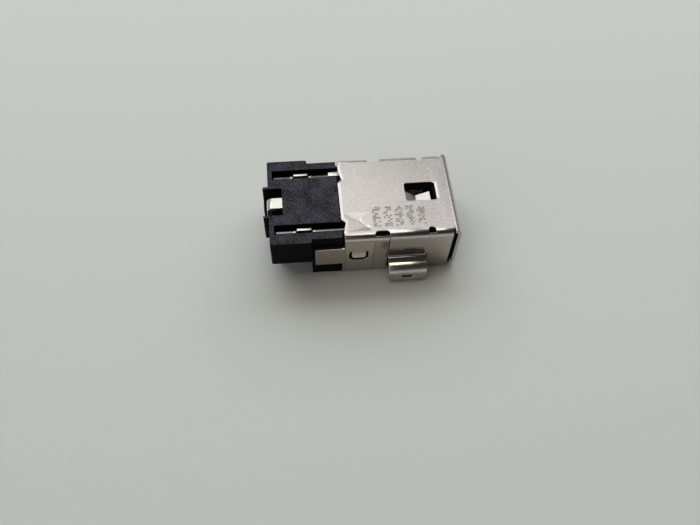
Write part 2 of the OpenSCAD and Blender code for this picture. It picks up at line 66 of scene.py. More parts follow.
# Places on the jack, of which the shell's top and front come from the frame
SHELL_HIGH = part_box("shield_shell")[1]
PLATE_TOP = SHELL_HIGH.z
PLATE_LENGTH = 8.1 * MM
PLATE_REAR = SHELL_HIGH.x - PLATE_LENGTH
HUMP_MIDDLE = PLATE_REAR - 2.67 * MM
WALL_FACE = 3.5 * MM
WALL_INSIDE = 3.2 * MM
FOLD_INSIDE = 3.0 * MM
LEG_SHOULDER = 4.15 * MM
LEG_BEND_DEPTH = 3.08 * MM

# Places on the rear flaps, from the top plate's rear edge
FLAP_REAR_LINE = 0.1 * MM
FLAP_CREASE = 2.1 * MM
FLAP_END = 3.1 * MM

# Regions of the top plate, each by its rear, front, near and far limit
REAR_RIM = (PLATE_REAR - 0.2 * MM, PLATE_REAR + 0.5 * MM, -3.1 * MM, 3.1 * MM)
WINDOW_RIM = (PLATE_REAR + 6.5 * MM, PLATE_REAR + 7.1 * MM, -0.62 * MM, 0.97 * MM)
DENT_REGION = (PLATE_REAR + 0.12 * MM, PLATE_REAR + 1.86 * MM, -2.98 * MM, -1.3 * MM)

# Bands over which a mark on the walls, the blades or the housing fades in or out
WALL_SKIN = (WALL_FACE - 0.06 * MM, WALL_FACE - 0.03 * MM)
LATCH_SKIN = (WALL_FACE + 0.01 * MM, WALL_FACE + 0.05 * MM)
LEG_SKIN = (LEG_SHOULDER - 0.2 * MM, LEG_SHOULDER - 0.1 * MM)
MIDDLE = (-0.1 * MM, 0.1 * MM)
FLAP_START = (0.05 * MM, 0.12 * MM)
AT_CREASE = (FLAP_CREASE - 0.02 * MM, FLAP_CREASE + 0.02 * MM)
AT_FLAP_END = (FLAP_END, FLAP_END + 0.02 * MM)
CORNER_START = (2.45 * MM, 2.75 * MM)
SHADE_LINE_WIDTH = (0.02 * MM, 0.06 * MM)
BELOW_FOLD = (0.55 * MM, 0.70 * MM)
BELOW_CORNER = (1.2 * MM, 1.7 * MM)
BELOW_LATCH = (1.9 * MM, 2.6 * MM)
HOUSING_TOP = (PLATE_TOP - 0.2 * MM, PLATE_TOP - 0.15 * MM)
BLADE_EDGE = (PLATE_TOP - 0.456 * MM, PLATE_TOP - 0.446 * MM)
HUMP_FOOT = (0.68 * MM, 0.76 * MM)

# Limits for joining, cutting and shading the meshes
WELD = 0.0001 * MM
SLIVER = 0.005 * MM
ROLL_CELL = 0.04 * MM
ROLL_ROWS = 60
FLAT_UP = 0.99
ROUND_ABOVE = math.radians(25)
SHARP_CONVEX = math.radians(50)
SHARP_CONCAVE = math.radians(25)

# Colours of worn and marked places, and of painted highlights and painted shade on the shell's walls
NICKEL_SCRATCHED = (0.85, 0.83, 0.80, 1)
NICKEL_WORN = (0.80, 0.77, 0.73, 1)
# Painted light and painted shade: lighter rear flaps, dark lines and corner, paler latches,
# near-white leg bends
FLAP_PAINTED_LIGHT = (0.74, 0.695, 0.605, 1)
FLAP_PAINTED_SHADE = (0.22, 0.20, 0.17, 1)
LATCH_HIGHLIGHT = (0.82, 0.78, 0.70, 1)
LEG_BEND_HIGHLIGHT = (0.93, 0.895, 0.87, 1)
PLASTIC_SPECK = (0.20, 0.195, 0.20, 1)
TIN_CLOUDED = (0.62, 0.61, 0.585, 1)
TIN_DULL = (0.30, 0.29, 0.31, 1)
TIN_WORN = (0.92, 0.91, 0.88, 1)
STRIP_PALE = (0.20, 0.18, 0.175, 1)
PIN_PLATE = (0.78, 0.74, 0.66, 1)
PIN_BRASS = (0.72, 0.66, 0.54, 1)
FLOOR_CLOUD = (0.5, 0.5, 0.48, 1)

# Directions from which the room is bright, each with the range over which the light comes in
PATCH_LOBE = ((-0.20, 0.35, 0.915), 0.825, 0.93)
LEFT_LOBE = ((-0.80, -0.46, 0.38), 0.78, 0.97)
FAR_LOBES = (
    ("top", (0, 0, 1), 0.94, 0.98),
    ("far", (0.10, 0.95, 0.28), 0.85, 0.98),
    ("glint", (0.46, 0.50, 0.73), 0.965, 0.995),
    ("right", (0.80, 0.56, 0.22), 0.80, 0.97),
    ("flank", (-0.50, 0.57, 0.65), 0.86, 0.97),
)
DEPTH_AXIS = (0, 0.94, 0.34)

# Tints of the light
FAR_TINT = (0.99, 1.0, 0.945, 1)
MIDDLE_TINT = (1.0, 0.975, 0.70, 1)
NEAR_TINT = (1.0, 0.945, 0.95, 1)
KEY_TINT = (0.94, 0.98, 1.0)


# Sizes and colours that a user would change


class JackEdges(bpy.types.PropertyGroup):
    """How far the edges of each kind of piece are rounded."""

    roll: FloatProperty(
        name="Rolled edges",
        description="Width over which the punch draws the top plate's cut edges down",
        default=0.24 * MM, min=0, subtype="DISTANCE", unit="LENGTH", precision=6,
    )
    roll_drop: FloatProperty(
        name="Roll depth", description="How far the punch draws the top plate's cut edges down",
        default=0.05 * MM, min=0, subtype="DISTANCE", unit="LENGTH", precision=6,
    )
    sheet: FloatProperty(
        name="Shell edges", description="Rounding of the stamped shell's other edges",
        default=0.02 * MM, min=0, subtype="DISTANCE", unit="LENGTH", precision=6,
    )
    moulding: FloatProperty(
        name="Housing edges", description="Rounding of the moulded housing's edges",
        default=0.022 * MM, min=0, subtype="DISTANCE", unit="LENGTH", precision=6,
    )
    strip: FloatProperty(
        name="Terminal edges", description="Rounding of the pin's and terminal's edges",
        default=0.03 * MM, min=0, subtype="DISTANCE", unit="LENGTH", precision=6,
    )
    blade: FloatProperty(
        name="Contact edges", description="Rounding of the sleeve contacts' cut edges",
        default=0.045 * MM, min=0, subtype="DISTANCE", unit="LENGTH", precision=6,
    )
    steps: IntProperty(
        name="Steps", description="Faces around each rounded edge", default=2, min=1, max=4,
    )


class JackMarks(bpy.types.PropertyGroup):
    """Small marks that handling and forming left in the sheet."""

    dent_depth: FloatProperty(
        name="Dent", description="Depth of the shallow dent at the top plate's rear corner",
        default=0.045 * MM, min=0, subtype="DISTANCE", unit="LENGTH", precision=6,
    )
    flap_bend: FloatProperty(
        name="Flap bend", description="How far the rear flap's free end is bent out",
        default=0.03 * MM, min=0, subtype="DISTANCE", unit="LENGTH", precision=6,
    )
    leg_spring: FloatProperty(
        name="Leg spring", description="How far the legs' bends sprang open, as added radius",
        default=0.2 * MM, min=0, max=0.25 * MM, subtype="DISTANCE", unit="LENGTH", precision=6,
    )


class JackColours(bpy.types.PropertyGroup):
    """Colours of the metals, the plastic and the ink."""

    nickel: FloatVectorProperty(
        name="Nickel", description="Satin nickel of the shell", subtype="COLOR",
        size=4, min=0, max=1, default=(0.665, 0.624, 0.635, 1),
    )
    # Painted shade: the darker, yellower nickel that faces turned away from up take, on the walls and
    # bends.
    shaded_nickel: FloatVectorProperty(
        name="Wall nickel", description="Duller nickel on the drawn walls and bends",
        subtype="COLOR", size=4, min=0, max=1, default=(0.550, 0.505, 0.450, 1),
    )
    nickel_warm: FloatVectorProperty(
        name="Warm nickel", description="Warmer clouds in the shell's plating", subtype="COLOR",
        size=4, min=0, max=1, default=(0.650, 0.600, 0.602, 1),
    )
    plastic: FloatVectorProperty(
        name="Plastic", description="Black plastic of the housing", subtype="COLOR",
        size=4, min=0, max=1, default=(0.0024, 0.0024, 0.0030, 1),
    )
    plastic_bare: FloatVectorProperty(
        name="Rubbed plastic", description="Paler plastic on worn edges and specks",
        subtype="COLOR", size=4, min=0, max=1, default=(0.022, 0.021, 0.026, 1),
    )
    tin: FloatVectorProperty(
        name="Tin", description="Bright tin plate of contacts and terminal", subtype="COLOR",
        size=4, min=0, max=1, default=(0.84, 0.836, 0.81, 1),
    )
    bronze: FloatVectorProperty(
        name="Bronze", description="Bare strip on the contacts' cut edges", subtype="COLOR",
        size=4, min=0, max=1, default=(0.105, 0.075, 0.060, 1),
    )
    # Part dust, part painted sheen: the paler colour of the housing's upward top faces.
    dust_and_sheen: FloatVectorProperty(
        name="Dust", description="Fine dust on the housing's upper faces", subtype="COLOR",
        size=4, min=0, max=1, default=(0.105, 0.101, 0.130, 1),
    )
    ink: FloatVectorProperty(
        name="Ink", description="Worn ink of the dots on the top plate", subtype="COLOR",
        size=4, min=0, max=1, default=(0.150, 0.136, 0.133, 1),
    )
    floor: FloatVectorProperty(
        name="Floor", description="Pale floor under the jack", subtype="COLOR",
        size=4, min=0, max=1, default=(0.480, 0.485, 0.478, 1),
    )


class JackInk(bpy.types.PropertyGroup):
    """Fields of worn ink dots on the top plate."""

    fields: IntProperty(name="Fields", description="Number of dot fields", default=5, min=1, max=12)
    columns: IntProperty(
        name="Columns", description="Dots across a field", default=4, min=2, max=12,
    )
    rows: IntProperty(name="Rows", description="Dots along a field", default=10, min=2, max=24)
    field_pitch: FloatProperty(
        name="Field pitch", description="Distance between the fields", default=0.78 * MM, min=0,
        subtype="DISTANCE", unit="LENGTH", precision=6,
    )
    column_pitch: FloatProperty(
        name="Column pitch", description="Distance between dots across a field",
        default=0.13 * MM, min=0, subtype="DISTANCE", unit="LENGTH", precision=6,
    )
    row_pitch: FloatProperty(
        name="Row pitch", description="Distance between dots along a field", default=0.17 * MM,
        min=0, subtype="DISTANCE", unit="LENGTH", precision=6,
    )
    dot_radius: FloatProperty(
        name="Dot radius", description="Radius of a dot", default=0.088 * MM, min=0,
        subtype="DISTANCE", unit="LENGTH", precision=6,
    )
    film: FloatProperty(
        name="Film", description="Height of the dried ink", default=0.003 * MM, min=0,
        subtype="DISTANCE", unit="LENGTH", precision=6,
    )
    fill: FloatProperty(
        name="Fill", description="Share of the dots that are left", default=0.50, min=0, max=1,
        subtype="FACTOR",
    )
    start: FloatVectorProperty(
        name="Start", description="Middle of the first field", size=3, subtype="TRANSLATION",
        unit="LENGTH", default=(PLATE_REAR + 2.35 * MM, -1.83 * MM, PLATE_TOP),
    )
    seed: IntProperty(name="Seed", description="Choice of the dots that are left", default=4)


class JackStage(bpy.types.PropertyGroup):
    """Camera, lamp and the light around the jack."""

    camera_place: FloatVectorProperty(
        name="Camera", description="Place of the camera",
        size=3, subtype="TRANSLATION", unit="LENGTH",
        default=(-4.5387 * MM, -28.8218 * MM, 42.7406 * MM),
    )
    camera_turn: FloatVectorProperty(
        name="Turn", description="Azimuth, elevation and roll of the camera",
        size=3, subtype="EULER",
        default=(math.radians(-8.18), math.radians(58.407), math.radians(3.38)),
    )
    lens: FloatProperty(
        name="Lens", description="Focal length on a 36 mm wide sensor", default=35.364, min=1,
        subtype="DISTANCE_CAMERA",
    )
    key_power: FloatProperty(
        name="Key lamp", description="Power of the soft lamp behind the jack",
        default=0.60, min=0, subtype="POWER",
    )
    key_place: FloatVectorProperty(
        name="Key place", description="Place of the soft lamp", size=3, subtype="TRANSLATION",
        unit="LENGTH", default=(0.006, 0.149, 0.134),
    )
    key_width: FloatProperty(
        name="Key width", description="Width of the soft lamp, along the jack",
        default=0.44, min=0.01, subtype="DISTANCE", unit="LENGTH",
    )
    key_height: FloatProperty(
        name="Key height", description="Height of the soft lamp", default=0.15, min=0.01,
        subtype="DISTANCE", unit="LENGTH",
    )
    room: FloatProperty(
        name="Room", description="Brightness of the room behind the jack", default=0.12, min=0,
    )
    patch: FloatProperty(
        name="Bright patch", description="Added brightness behind and above at the left",
        default=1.05, min=0,
    )
    top: FloatProperty(
        name="Top light", description="Added brightness right above the jack",
        default=1.2, min=0,
    )
    far: FloatProperty(
        name="Far light", description="Added brightness low behind the jack",
        default=0.35, min=0,
    )
    glint: FloatProperty(
        name="Glint", description="Added brightness that the front bend shows as a line",
        default=1.2, min=0,
    )
    right: FloatProperty(
        name="Right light", description="Added brightness low behind at the right",
        default=0.14, min=0,
    )
    flank: FloatProperty(
        name="Flank light", description="Added brightness that faces turned to the left show",
        default=0.42, min=0,
    )
    horizon: FloatProperty(
        name="Horizon", description="Added brightness low before the jack", default=0.18, min=0,
    )
    left: FloatProperty(
        name="Left light", description="Added brightness low at the left", default=1.0, min=0,
    )
    near: FloatProperty(
        name="Near light", description="Share of the room's light that is left before the jack",
        default=0.22, min=0,
    )
    floor_size: FloatProperty(
        name="Floor size", description="Side of the floor", default=2.4, min=0.1,
        subtype="DISTANCE", unit="LENGTH",
    )


class JackLook(bpy.types.PropertyGroup):
    """All settings of the jack's finish."""

    edges: PointerProperty(type=JackEdges)
    marks: PointerProperty(type=JackMarks)
    colours: PointerProperty(type=JackColours)
    ink: PointerProperty(type=JackInk)
    stage: PointerProperty(type=JackStage)


# Building blocks for node trees


def put(tree, kind, inputs=None, **settings):
    """Adds a node, applies its settings and fills its inputs with values or links."""
    node = tree.nodes.new(kind)
    for name, value in settings.items():
        setattr(node, name, value)
    for key, value in (inputs or {}).items():
        if isinstance(value, bpy.types.NodeSocket):
            tree.links.new(value, node.inputs[key])
        else:
            node.inputs[key].default_value = value
    return node


def calculate(tree, operation, first, second=0.0, clamp=False):
    """One step of arithmetic on two values or links."""
    inputs = {0: first, 1: second}
    return put(tree, "ShaderNodeMath", inputs, operation=operation, use_clamp=clamp).outputs[0]


def multiply(tree, first, second):
    """Product of two values or links."""
    return calculate(tree, "MULTIPLY", first, second)


def reckon(tree, operation, inputs):
    """One step of arithmetic on vectors."""
    return put(tree, "ShaderNodeVectorMath", inputs, operation=operation).outputs


def remap(tree, value, low, high, to_low=0.0, to_high=1.0, smooth=False):
    """Takes a value from one range to another, held at the ends."""
    kind = "SMOOTHSTEP" if smooth else "LINEAR"
    inputs = {
        "Value": value, "From Min": low, "From Max": high, "To Min": to_low, "To Max": to_high,
    }
    return put(tree, "ShaderNodeMapRange", inputs, interpolation_type=kind).outputs["Result"]


def blend(tree, share, first, second, kind="MIX"):
    """Mixes two colours by a share."""
    inputs = {0: share, 6: first, 7: second}
    return put(tree, "ShaderNodeMix", inputs, data_type="RGBA", blend_type=kind).outputs[2]


def noise(tree, vector, detail=2.0, roughness=0.5):
    """Noise of about one unit per cell."""
    inputs = {"Vector": vector, "Scale": 1.0, "Detail": detail, "Roughness": roughness}
    return put(tree, "ShaderNodeTexNoise", inputs).outputs["Fac"]


def place_parts(tree):
    """Place on the piece, as its three parts."""
    place = put(tree, "ShaderNodeTexCoord").outputs["Object"]
    return put(tree, "ShaderNodeSeparateXYZ", {"Vector": place}).outputs


def facing_up(tree):
    """How far the surface faces up, from -1 to 1."""
    normal = put(tree, "ShaderNodeTexCoord").outputs["Normal"]
    return put(tree, "ShaderNodeSeparateXYZ", {"Vector": normal}).outputs["Z"]


def scaled_place(tree, size, stretch=None):
    """Place on the piece, counted in cells of the given size."""
    place = put(tree, "ShaderNodeTexCoord").outputs["Object"]
    if stretch is not None:
        place = reckon(tree, "MULTIPLY", {0: place, 1: stretch})[0]
    per_metre = calculate(tree, "DIVIDE", 1.0, size)
    return reckon(tree, "SCALE", {0: place, "Scale": per_metre})[0]


def new_group(name, inputs, outputs):
    """Empty shader group with named sockets, and its inner input and output sockets."""
    tree = bpy.data.node_groups.new(name, "ShaderNodeTree")
    for label, kind, default in inputs:
        socket = tree.interface.new_socket(label, in_out="INPUT", socket_type=kind)
        socket.default_value = default
    for label in outputs:
        tree.interface.new_socket(label, in_out="OUTPUT", socket_type="NodeSocketFloat")
    given = tree.nodes.new("NodeGroupInput").outputs
    made = tree.nodes.new("NodeGroupOutput").inputs
    return tree, given, made


def grain_group():
    """Fine surface grain and the broad clouds under it."""
    name = "Surface grain"
    if name in bpy.data.node_groups:
        return bpy.data.node_groups[name]
    tree, given, made = new_group(
        name,
        [
            ("Grain Size", "NodeSocketFloat", 0.08 * MM),
            ("Grain Stretch", "NodeSocketVector", (1, 1, 1)),
            ("Cloud Size", "NodeSocketFloat", 1.5 * MM),
        ],
        ["Grain", "Clouds"],
    )
    fine = scaled_place(tree, given["Grain Size"], given["Grain Stretch"])
    broad = scaled_place(tree, given["Cloud Size"])
    tree.links.new(noise(tree, fine, detail=3.0, roughness=0.6), made["Grain"])
    tree.links.new(remap(tree, noise(tree, broad), 0.3, 0.7), made["Clouds"])
    return tree


def edge_group():
    """Wear on outer edges, broken up by noise."""
    name = "Edge wear"
    if name in bpy.data.node_groups:
        return bpy.data.node_groups[name]
    tree, given, made = new_group(
        name, [("Break Size", "NodeSocketFloat", 0.2 * MM)], ["Worn"],
    )
    edge = put(tree, "ShaderNodeAttribute", attribute_name=EDGE_ATTRIBUTE).outputs["Fac"]
    broken = noise(tree, scaled_place(tree, given["Break Size"]))
    breaks = remap(tree, broken, 0.35, 0.65, 0.35, 1.0)
    tree.links.new(calculate(tree, "MULTIPLY", edge, breaks, clamp=True), made["Worn"])
    return tree


def marks_group():
    """Smudges from handling and hair-fine scratches."""
    name = "Handling marks"
    if name in bpy.data.node_groups:
        return bpy.data.node_groups[name]
    tree, given, made = new_group(
        name,
        [
            ("Smudge Size", "NodeSocketFloat", 0.9 * MM),
            ("Scratch Gap", "NodeSocketFloat", 0.5 * MM),
            ("Scratch Stretch", "NodeSocketVector", (0.08, 1, 1)),
        ],
        ["Smudge", "Scratch"],
    )
    smears = noise(tree, scaled_place(tree, given["Smudge Size"]), 4.0, 0.6)
    lanes = noise(tree, scaled_place(tree, given["Scratch Gap"], given["Scratch Stretch"]), 1.0)
    offset = calculate(tree, "ABSOLUTE", calculate(tree, "SUBTRACT", lanes, 0.5))
    line = remap(tree, offset, 0.0, 0.012, 1.0, 0.0)
    gate = remap(tree, noise(tree, scaled_place(tree, given["Smudge Size"])), 0.5, 0.62)
    tree.links.new(remap(tree, smears, 0.45, 0.7), made["Smudge"])
    tree.links.new(multiply(tree, line, gate), made["Scratch"])
    return tree


def place_group(tree, group, **values):
    """Places a group in a material with its own values, given with underscores for spaces."""
    node = put(tree, "ShaderNodeGroup", node_tree=group)
    for label, value in values.items():
        node.inputs[label.replace("_", " ")].default_value = value
    return node.outputs


def new_material(name, **constants):
    """Material with an empty Principled surface, its tree and its shader's inputs."""
    material = bpy.data.materials.new(name)
    material.use_nodes = True
    tree = material.node_tree
    shader = tree.nodes["Principled BSDF"]
    for label, value in constants.items():
        shader.inputs[label.replace("_", " ")].default_value = value
    return material, tree, shader.inputs


def add_bump(tree, sockets, height, depth, strength=1.0):
    """Raises the surface by a height map of the given depth."""
    inputs = {"Height": height, "Distance": depth, "Strength": strength}
    tree.links.new(put(tree, "ShaderNodeBump", inputs).outputs["Normal"], sockets["Normal"])


# Materials of the pieces


def wall_painted_light(tree, colour, up):
    """Painted light and shade on the shell's walls: lighter rear flaps, paler latches and near-white
    leg bends, with dark lines and a dark upper corner on the near flap.
    """
    place = place_parts(tree)
    out = calculate(tree, "ABSOLUTE", place["Y"])
    along = calculate(tree, "SUBTRACT", place["X"], PLATE_REAR)
    depth = calculate(tree, "SUBTRACT", PLATE_TOP, place["Z"])
    wall = multiply(tree, remap(tree, out, *WALL_SKIN), remap(tree, depth, *BELOW_FOLD))
    before_crease = remap(tree, along, *AT_CREASE, 1.0, 0.0)

    # Painted light: the rear flaps are lighter from just behind their rear edge to the crease, fading
    # out below the latch.
    bright = multiply(tree, remap(tree, along, *FLAP_START, 0.0, 0.8), before_crease)
    bright = multiply(tree, bright, remap(tree, depth, *BELOW_LATCH, 1.0, 0.0))
    colour = blend(tree, multiply(tree, bright, wall), colour, FLAP_PAINTED_LIGHT)
    # Painted highlight: the latches, standing out past the wall face before the crease, are painted
    # paler.
    latch_glint = multiply(tree, remap(tree, out, *LATCH_SKIN), before_crease)
    colour = blend(tree, latch_glint, colour, LATCH_HIGHLIGHT)
    # Painted highlight: the upward-facing parts of the leg bends, out past the wall, are painted near
    # white.
    leg_glint = multiply(tree, remap(tree, out, *LEG_SKIN), remap(tree, up, 0.4, 0.7))
    colour = blend(tree, leg_glint, colour, LEG_BEND_HIGHLIGHT)

    near_wall = multiply(tree, wall, remap(tree, place["Y"], *MIDDLE, 1.0, 0.0))
    # Painted shade: dark upright lines down the near flap, near its rear edge and at its crease.
    for line, share in ((FLAP_REAR_LINE, 0.35), (FLAP_CREASE, 0.55)):
        gap = calculate(tree, "ABSOLUTE", calculate(tree, "SUBTRACT", along, line))
        line_shade = multiply(tree, remap(tree, gap, *SHADE_LINE_WIDTH, share, 0.0), near_wall)
        colour = blend(tree, line_shade, colour, FLAP_PAINTED_SHADE)
    # Painted shade: the near flap's upper corner towards its free end is darkened.
    corner = multiply(
        tree, remap(tree, along, *CORNER_START, 0.0, 0.8),
        remap(tree, along, *AT_FLAP_END, 1.0, 0.0),
    )
    corner = multiply(tree, corner, remap(tree, depth, *BELOW_CORNER, 1.0, 0.0))
    return blend(tree, multiply(tree, corner, near_wall), colour, FLAP_PAINTED_SHADE)


def satin_nickel(colours):
    """Rolled sheet with satin nickel plate: grain, warm clouds, painted shade on walls and bends, and
    worn edges rubbed bright.
    """
    material, tree, sockets = new_material("satin_nickel_sheet", Metallic=1.0)
    grain = place_group(
        tree, grain_group(),
        Grain_Size=0.07 * MM, Grain_Stretch=(0.25, 1, 1), Cloud_Size=2.2 * MM,
    )
    edge = place_group(tree, edge_group(), Break_Size=0.3 * MM)
    marks = place_group(tree, marks_group(), Smudge_Size=1.1 * MM, Scratch_Gap=0.6 * MM)
    up = facing_up(tree)
    colour = blend(tree, grain["Clouds"], colours.nickel, colours.nickel_warm)
    # Painted shade: faces turned away from up go over to the darker, yellower nickel.
    colour = blend(tree, remap(tree, up, 0.05, 0.45, 1.0, 0.0), colour, colours.shaded_nickel)
    colour = wall_painted_light(tree, colour, up)
    mottle = remap(tree, grain["Grain"], 0.3, 0.7, 0.85, 1.13)
    grey = put(tree, "ShaderNodeCombineColor", {"Red": mottle, "Green": mottle, "Blue": mottle})
    colour = blend(tree, 1.0, colour, grey.outputs[0], "MULTIPLY")
    colour = blend(tree, multiply(tree, marks["Scratch"], 0.25), colour, NICKEL_SCRATCHED)
    colour = blend(tree, multiply(tree, edge["Worn"], 0.3), colour, NICKEL_WORN)
    tree.links.new(colour, sockets["Base Color"])
    rough = remap(tree, grain["Grain"], 0.25, 0.75, 0.14, 0.24)
    rough = calculate(tree, "ADD", rough, multiply(tree, marks["Smudge"], 0.08))
    polish = multiply(tree, edge["Worn"], 0.08)
    tree.links.new(calculate(tree, "SUBTRACT", rough, polish, clamp=True), sockets["Roughness"])
    height = calculate(tree, "SUBTRACT", grain["Grain"], multiply(tree, marks["Scratch"], 0.6))
    add_bump(tree, sockets, height, 0.002 * MM, 0.3)
    return material


def moulded_plastic(colours):
    """Black moulded plastic with a grain, dust and painted sheen on upper faces, rubbed edges and
    stray specks.
    """
    material, tree, sockets = new_material("moulded_black_plastic", Specular_IOR_Level=0.04)
    grain = place_group(tree, grain_group(), Grain_Size=0.07 * MM, Cloud_Size=1.0 * MM)
    edge = place_group(tree, edge_group(), Break_Size=0.15 * MM)
    marks = place_group(tree, marks_group(), Smudge_Size=0.8 * MM, Scratch_Gap=0.7 * MM)
    cells = put(tree, "ShaderNodeTexVoronoi", {
        "Vector": scaled_place(tree, 0.22 * MM), "Scale": 1.0, "Randomness": 1.0}).outputs
    chosen = put(tree, "ShaderNodeSeparateColor", {"Color": cells["Color"]}).outputs["Red"]
    speck = multiply(
        tree, remap(tree, cells["Distance"], 0.05, 0.14, 1.0, 0.0), remap(tree, chosen, 0.72, 0.9)
    )
    # Dust and painted sheen: the housing's upward top faces are paler than its sides, partly dust and
    # partly painted light.
    open_top = multiply(
        tree, remap(tree, facing_up(tree), 0.6, 0.95),
        remap(tree, place_parts(tree)["Z"], *HOUSING_TOP),
    )
    film = calculate(
        tree, "ADD", multiply(tree, grain["Grain"], 0.87), multiply(tree, grain["Clouds"], 0.13)
    )
    dust_and_sheen = multiply(tree, open_top, remap(tree, film, 0.34, 0.68, 0.0, 0.58))
    bare = remap(tree, grain["Grain"], 0.40, 0.68, 0.0, 0.4)
    colour = blend(tree, bare, colours.plastic, colours.plastic_bare)
    colour = blend(tree, dust_and_sheen, colour, colours.dust_and_sheen)
    colour = blend(tree, multiply(tree, edge["Worn"], 0.35), colour, colours.plastic_bare)
    seen = multiply(tree, speck, remap(tree, open_top, 0.0, 1.0, 0.06, 0.5))
    tree.links.new(blend(tree, seen, colour, PLASTIC_SPECK), sockets["Base Color"])
    rough = remap(tree, grain["Grain"], 0.3, 0.7, 0.66, 0.40)
    rough = calculate(tree, "SUBTRACT", rough, multiply(tree, marks["Smudge"], 0.06))
    tree.links.new(rough, sockets["Roughness"])
    height = calculate(tree, "ADD", grain["Grain"], multiply(tree, speck, 0.5))
    add_bump(tree, sockets, height, 0.016 * MM, 0.8)
    return material


def bare_strip(tree, colours, colour, clouds):
    """Bare strip on the blades' low upper edges: bronze at the far side, dull at the near one."""
    place = place_parts(tree)
    bare = multiply(
        tree, remap(tree, facing_up(tree), 0.5, 0.8), remap(tree, place["Z"], *BLADE_EDGE, 1.0, 0.0)
    )
    aside = calculate(tree, "ABSOLUTE", calculate(tree, "SUBTRACT", place["X"], HUMP_MIDDLE))
    bare = multiply(tree, bare, remap(tree, aside, *HUMP_FOOT))
    strip = blend(tree, clouds, colours.bronze, STRIP_PALE)
    strip = blend(tree, remap(tree, place["Y"], *MIDDLE), TIN_DULL, strip)
    return blend(tree, bare, colour, strip)


def bright_tin(colours, name, bare_edges):
    """Tin plate over strip, with the bare strip on low upper edges where asked."""
    material, tree, sockets = new_material(name, Metallic=1.0)
    grain = place_group(tree, grain_group(), Grain_Size=0.05 * MM, Cloud_Size=0.6 * MM)
    edge = place_group(tree, edge_group(), Break_Size=0.1 * MM)
    marks = place_group(tree, marks_group(), Smudge_Size=0.5 * MM, Scratch_Gap=0.3 * MM)
    colour = blend(tree, multiply(tree, grain["Clouds"], 0.3), colours.tin, TIN_CLOUDED)
    if bare_edges:
        colour = bare_strip(tree, colours, colour, grain["Clouds"])
    colour = blend(tree, multiply(tree, edge["Worn"], 0.5), colour, TIN_WORN)
    tree.links.new(colour, sockets["Base Color"])
    rough = remap(tree, grain["Grain"], 0.3, 0.7, 0.22, 0.34)
    smudge = multiply(tree, marks["Smudge"], 0.1)
    tree.links.new(calculate(tree, "ADD", rough, smudge, clamp=True), sockets["Roughness"])
    add_bump(tree, sockets, grain["Grain"], 0.003 * MM, 0.4)
    return material


def turned_nickel(colours):
    """Turned pin: plated brass with faint rings from the lathe."""
    material, tree, sockets = new_material("turned_pin_plate", Metallic=1.0)
    grain = place_group(
        tree, grain_group(),
        Grain_Size=0.04 * MM, Grain_Stretch=(1, 0.05, 0.05), Cloud_Size=0.8 * MM,
    )
    edge = place_group(tree, edge_group(), Break_Size=0.1 * MM)
    colour = blend(tree, grain["Clouds"], PIN_PLATE, PIN_BRASS)
    colour = blend(tree, multiply(tree, edge["Worn"], 0.5), colour, colours.tin)
    tree.links.new(colour, sockets["Base Color"])
    tree.links.new(remap(tree, grain["Grain"], 0.3, 0.7, 0.18, 0.32), sockets["Roughness"])
    add_bump(tree, sockets, grain["Grain"], 0.002 * MM, 0.6)
    return material


def worn_ink(colours):
    """Thin dried ink, rubbed down to the metal in places."""
    material, tree, sockets = new_material("worn_ink")
    wear = put(tree, "ShaderNodeAttribute", attribute_name=DOT_ATTRIBUTE).outputs["Fac"]
    grain = place_group(tree, grain_group(), Grain_Size=0.04 * MM, Cloud_Size=0.25 * MM)
    patchy = remap(tree, grain["Grain"], 0.3, 0.6)
    rubbed = calculate(tree, "MULTIPLY", wear, patchy, clamp=True)
    tree.links.new(blend(tree, rubbed, colours.ink, colours.nickel), sockets["Base Color"])
    tree.links.new(multiply(tree, rubbed, 0.8), sockets["Metallic"])
    tree.links.new(remap(tree, grain["Grain"], 0.3, 0.7, 0.5, 0.75), sockets["Roughness"])
    add_bump(tree, sockets, grain["Grain"], 0.001 * MM, 0.5)
    return material


# Meshes of the pieces


def welded_copy(node):
    """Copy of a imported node, its loose triangles joined to whole flats and its true edges seams."""
    bm = bmesh.new()
    bm.from_mesh(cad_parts[node].data)
    for edge in bm.edges:
        edge.seam = edge.is_boundary
    bmesh.ops.remove_doubles(bm, verts=bm.verts, dist=WELD)
    bmesh.ops.dissolve_limit(
        bm, angle_limit=math.radians(0.5), use_dissolve_boundaries=False,
        verts=bm.verts, edges=bm.edges, delimit={"SEAM"},
    )
    bmesh.ops.remove_doubles(bm, verts=bm.verts, dist=SLIVER)
    bmesh.ops.dissolve_degenerate(bm, dist=WELD, edges=bm.edges)
    return bm


def bisect(bm, faces, point, normal):
    """Splits the given faces along a plane and returns the parts that come of them."""
    edges = {edge for face in faces for edge in face.edges}
    verts = {vert for face in faces for vert in face.verts}
    cut = bmesh.ops.bisect_plane(
        bm, geom=[*faces, *edges, *verts], dist=0.0005 * MM, plane_co=point, plane_no=normal,
    )
    return [item for item in cut["geom"] if isinstance(item, bmesh.types.BMFace)]


